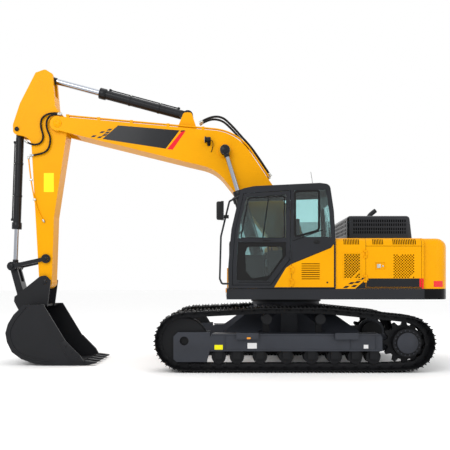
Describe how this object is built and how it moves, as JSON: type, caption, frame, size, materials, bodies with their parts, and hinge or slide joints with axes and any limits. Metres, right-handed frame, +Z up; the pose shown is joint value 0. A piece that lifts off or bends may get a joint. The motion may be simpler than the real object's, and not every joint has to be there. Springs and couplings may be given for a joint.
{
  "type": "crawler excavator",
  "caption": "Full-size crawler excavator with cab, swinging house, boom, arm and bucket on hydraulic cylinders, and steel tracks.",
  "frame": {"origin": "on the slew axis at ground level", "axes": "+Z up; the machine faces -X and its left side, with the cab, is -Y"},
  "size_m": [7.7128, 3.03, 5.2238],
  "materials": {
    "yellow_paint": "glossy machine enamel",
    "dark_paint": "satin dark enamel",
    "track_steel": "dark painted track steel",
    "cast_iron": "rough casting",
    "chrome_rod": "hard chromed and polished",
    "pipe_steel": "painted tube",
    "glass": "tinted safety glass",
    "black_plastic": "moulded",
    "seat_cloth": "woven"
  },
  "bodies": {
    "undercarriage": {"bottom_rollers_left": "track_steel", "bottom_rollers_right": "track_steel", "carbody": "dark_paint", "carrier_rollers_left": "track_steel", "carrier_rollers_right": "track_steel", "idler_left": "track_steel", "idler_right": "track_steel", "sprocket_drive_left": "track_steel", "sprocket_drive_right": "track_steel", "tow_eye": "dark_paint", "track_frame_left": "dark_paint", "track_frame_right": "dark_paint", "track_left": "track_steel", "track_right": "track_steel"},
    "house": {"cab_glass": "glass", "cab_shell": "dark_paint", "cab_side_panel": "yellow_paint", "consoles": "black_plastic", "counterweight": "yellow_paint", "engine": "cast_iron", "engine_deck": "dark_paint", "firewall": "dark_paint", "fuel_tank": "yellow_paint", "handrail_left": "dark_paint", "handrail_right": "dark_paint", "hydraulic_tank": "yellow_paint", "mirror_left": "black_plastic", "operator_seat": "seat_cloth", "platform": "dark_paint", "side_panel_left": "yellow_paint", "side_panel_right": "yellow_paint", "slew_ring": "cast_iron", "toolbox_steps": "yellow_paint"},
    "boom": {"boom": "yellow_paint", "boom_pipes": "pipe_steel"},
    "arm": {"arm": "yellow_paint"},
    "bucket": {"bucket": "dark_paint", "bucket_teeth": "cast_iron"},
    "guide_link": {"guide_link": "dark_paint"},
    "h_link": {"h_link": "dark_paint"},
    "boom_barrels": {"boom_barrels": "dark_paint"},
    "boom_rods": {"boom_rods": "chrome_rod"},
    "arm_barrel": {"arm_barrel": "dark_paint"},
    "arm_rod": {"arm_rod": "chrome_rod"},
    "bucket_barrel": {"bucket_barrel": "dark_paint"},
    "bucket_rod": {"bucket_rod": "chrome_rod"},
    "cab_door": {"cab_door": "dark_paint", "cab_door_glass": "glass"},
    "access_door": {"access_door": "yellow_paint"},
    "radiator_door": {"radiator_door": "yellow_paint"},
    "pump_door": {"pump_door": "yellow_paint"},
    "engine_hood": {"engine_hood": "dark_paint", "exhaust_tail": "dark_paint"}
  },
  "joints": [
    {"name": "swing", "type": "hinge", "parent": "undercarriage", "child": "house", "pos_m": [0, 0, 1.092], "axis": [0, 0, 1], "continuous": true},
    {"name": "boom_pivot", "type": "hinge", "parent": "house", "child": "boom", "pos_m": [0.1, 0, 1.93], "axis": [0, 1, 0], "range_deg": [-55, 35]},
    {"name": "arm_pivot", "type": "hinge", "parent": "boom", "child": "arm", "pos_m": [-4.07, 0, 4.245], "axis": [0, -1, 0], "range_deg": [-55, 31]},
    {"name": "bucket_pivot", "type": "hinge", "parent": "arm", "child": "bucket", "pos_m": [-4.3, 0, 1.433], "axis": [0, 1, 0], "range_deg": [-95, 40]},
    {"name": "guide_link_pivot", "type": "hinge", "parent": "arm", "child": "guide_link", "pos_m": [-4.29, 0, 1.848], "axis": [0, 1, 0], "range_deg": [-64.6, 27.3]},
    {"name": "h_link_pivot", "type": "hinge", "parent": "guide_link", "child": "h_link", "pos_m": [-4.898, 0, 1.715], "axis": [0, 1, 0], "range_deg": [-9.9, 23.4]},
    {"name": "boom_cylinder_pivot", "type": "hinge", "parent": "house", "child": "boom_barrels", "pos_m": [-0.375, 0, 1.425], "axis": [0, 1, 0], "range_deg": [-49.7, 31.7]},
    {"name": "boom_cylinder_slide", "type": "slide", "parent": "boom_barrels", "child": "boom_rods", "axis": [-0.2977, 0, 0.9547], "range_m": [-0.596, 0.38]},
    {"name": "arm_cylinder_pivot", "type": "hinge", "parent": "boom", "child": "arm_barrel", "pos_m": [-1.77, 0, 4.43], "axis": [0, 1, 0], "range_deg": [-3.6, 6.2]},
    {"name": "arm_cylinder_slide", "type": "slide", "parent": "arm_barrel", "child": "arm_rod", "axis": [-0.9662, 0, 0.2579], "range_m": [-0.779, 0.439]},
    {"name": "bucket_cylinder_pivot", "type": "hinge", "parent": "arm", "child": "bucket_barrel", "pos_m": [-4.81, 0, 4.16], "axis": [0, 1, 0], "range_deg": [-7.8, 3.4]},
    {"name": "bucket_cylinder_slide", "type": "slide", "parent": "bucket_barrel", "child": "bucket_rod", "axis": [-0.036, 0, -0.9994], "range_m": [-0.245, 0.581]},
    {"name": "cab_door_hinge", "type": "hinge", "parent": "house", "child": "cab_door", "pos_m": [-0.07, -1.414, 2.1], "axis": [0, 0, 1], "range_deg": [0, 165]},
    {"name": "access_door_hinge", "type": "hinge", "parent": "house", "child": "access_door", "pos_m": [-0.042, -1.414, 1.5], "axis": [0, 0, 1], "range_deg": [-110, 0]},
    {"name": "radiator_door_hinge", "type": "hinge", "parent": "house", "child": "radiator_door", "pos_m": [1.135, -1.394, 1.7], "axis": [0, 0, 1], "range_deg": [-110, 0]},
    {"name": "pump_door_hinge", "type": "hinge", "parent": "house", "child": "pump_door", "pos_m": [1.135, 1.394, 1.7], "axis": [0, 0, 1], "range_deg": [0, 110]},
    {"name": "hood_hinge", "type": "hinge", "parent": "house", "child": "engine_hood", "pos_m": [2.026, 0, 2.1425], "axis": [0, 1, 0], "range_deg": [0, 60]}
  ],
  "couplings": [
    {"joint": "guide_link_pivot", "follows": "bucket_pivot", "ratio": 0.678},
    {"joint": "h_link_pivot", "follows": "bucket_pivot", "ratio": -0.245},
    {"joint": "boom_cylinder_pivot", "follows": "boom_pivot", "ratio": 0.9},
    {"joint": "boom_cylinder_slide", "follows": "boom_pivot", "m_per_rad": 0.62},
    {"joint": "arm_cylinder_pivot", "follows": "arm_pivot", "ratio": -0.11},
    {"joint": "arm_cylinder_slide", "follows": "arm_pivot", "m_per_rad": 0.81},
    {"joint": "bucket_cylinder_pivot", "follows": "bucket_pivot", "ratio": 0.08},
    {"joint": "bucket_cylinder_slide", "follows": "bucket_pivot", "m_per_rad": -0.35}
  ]
}
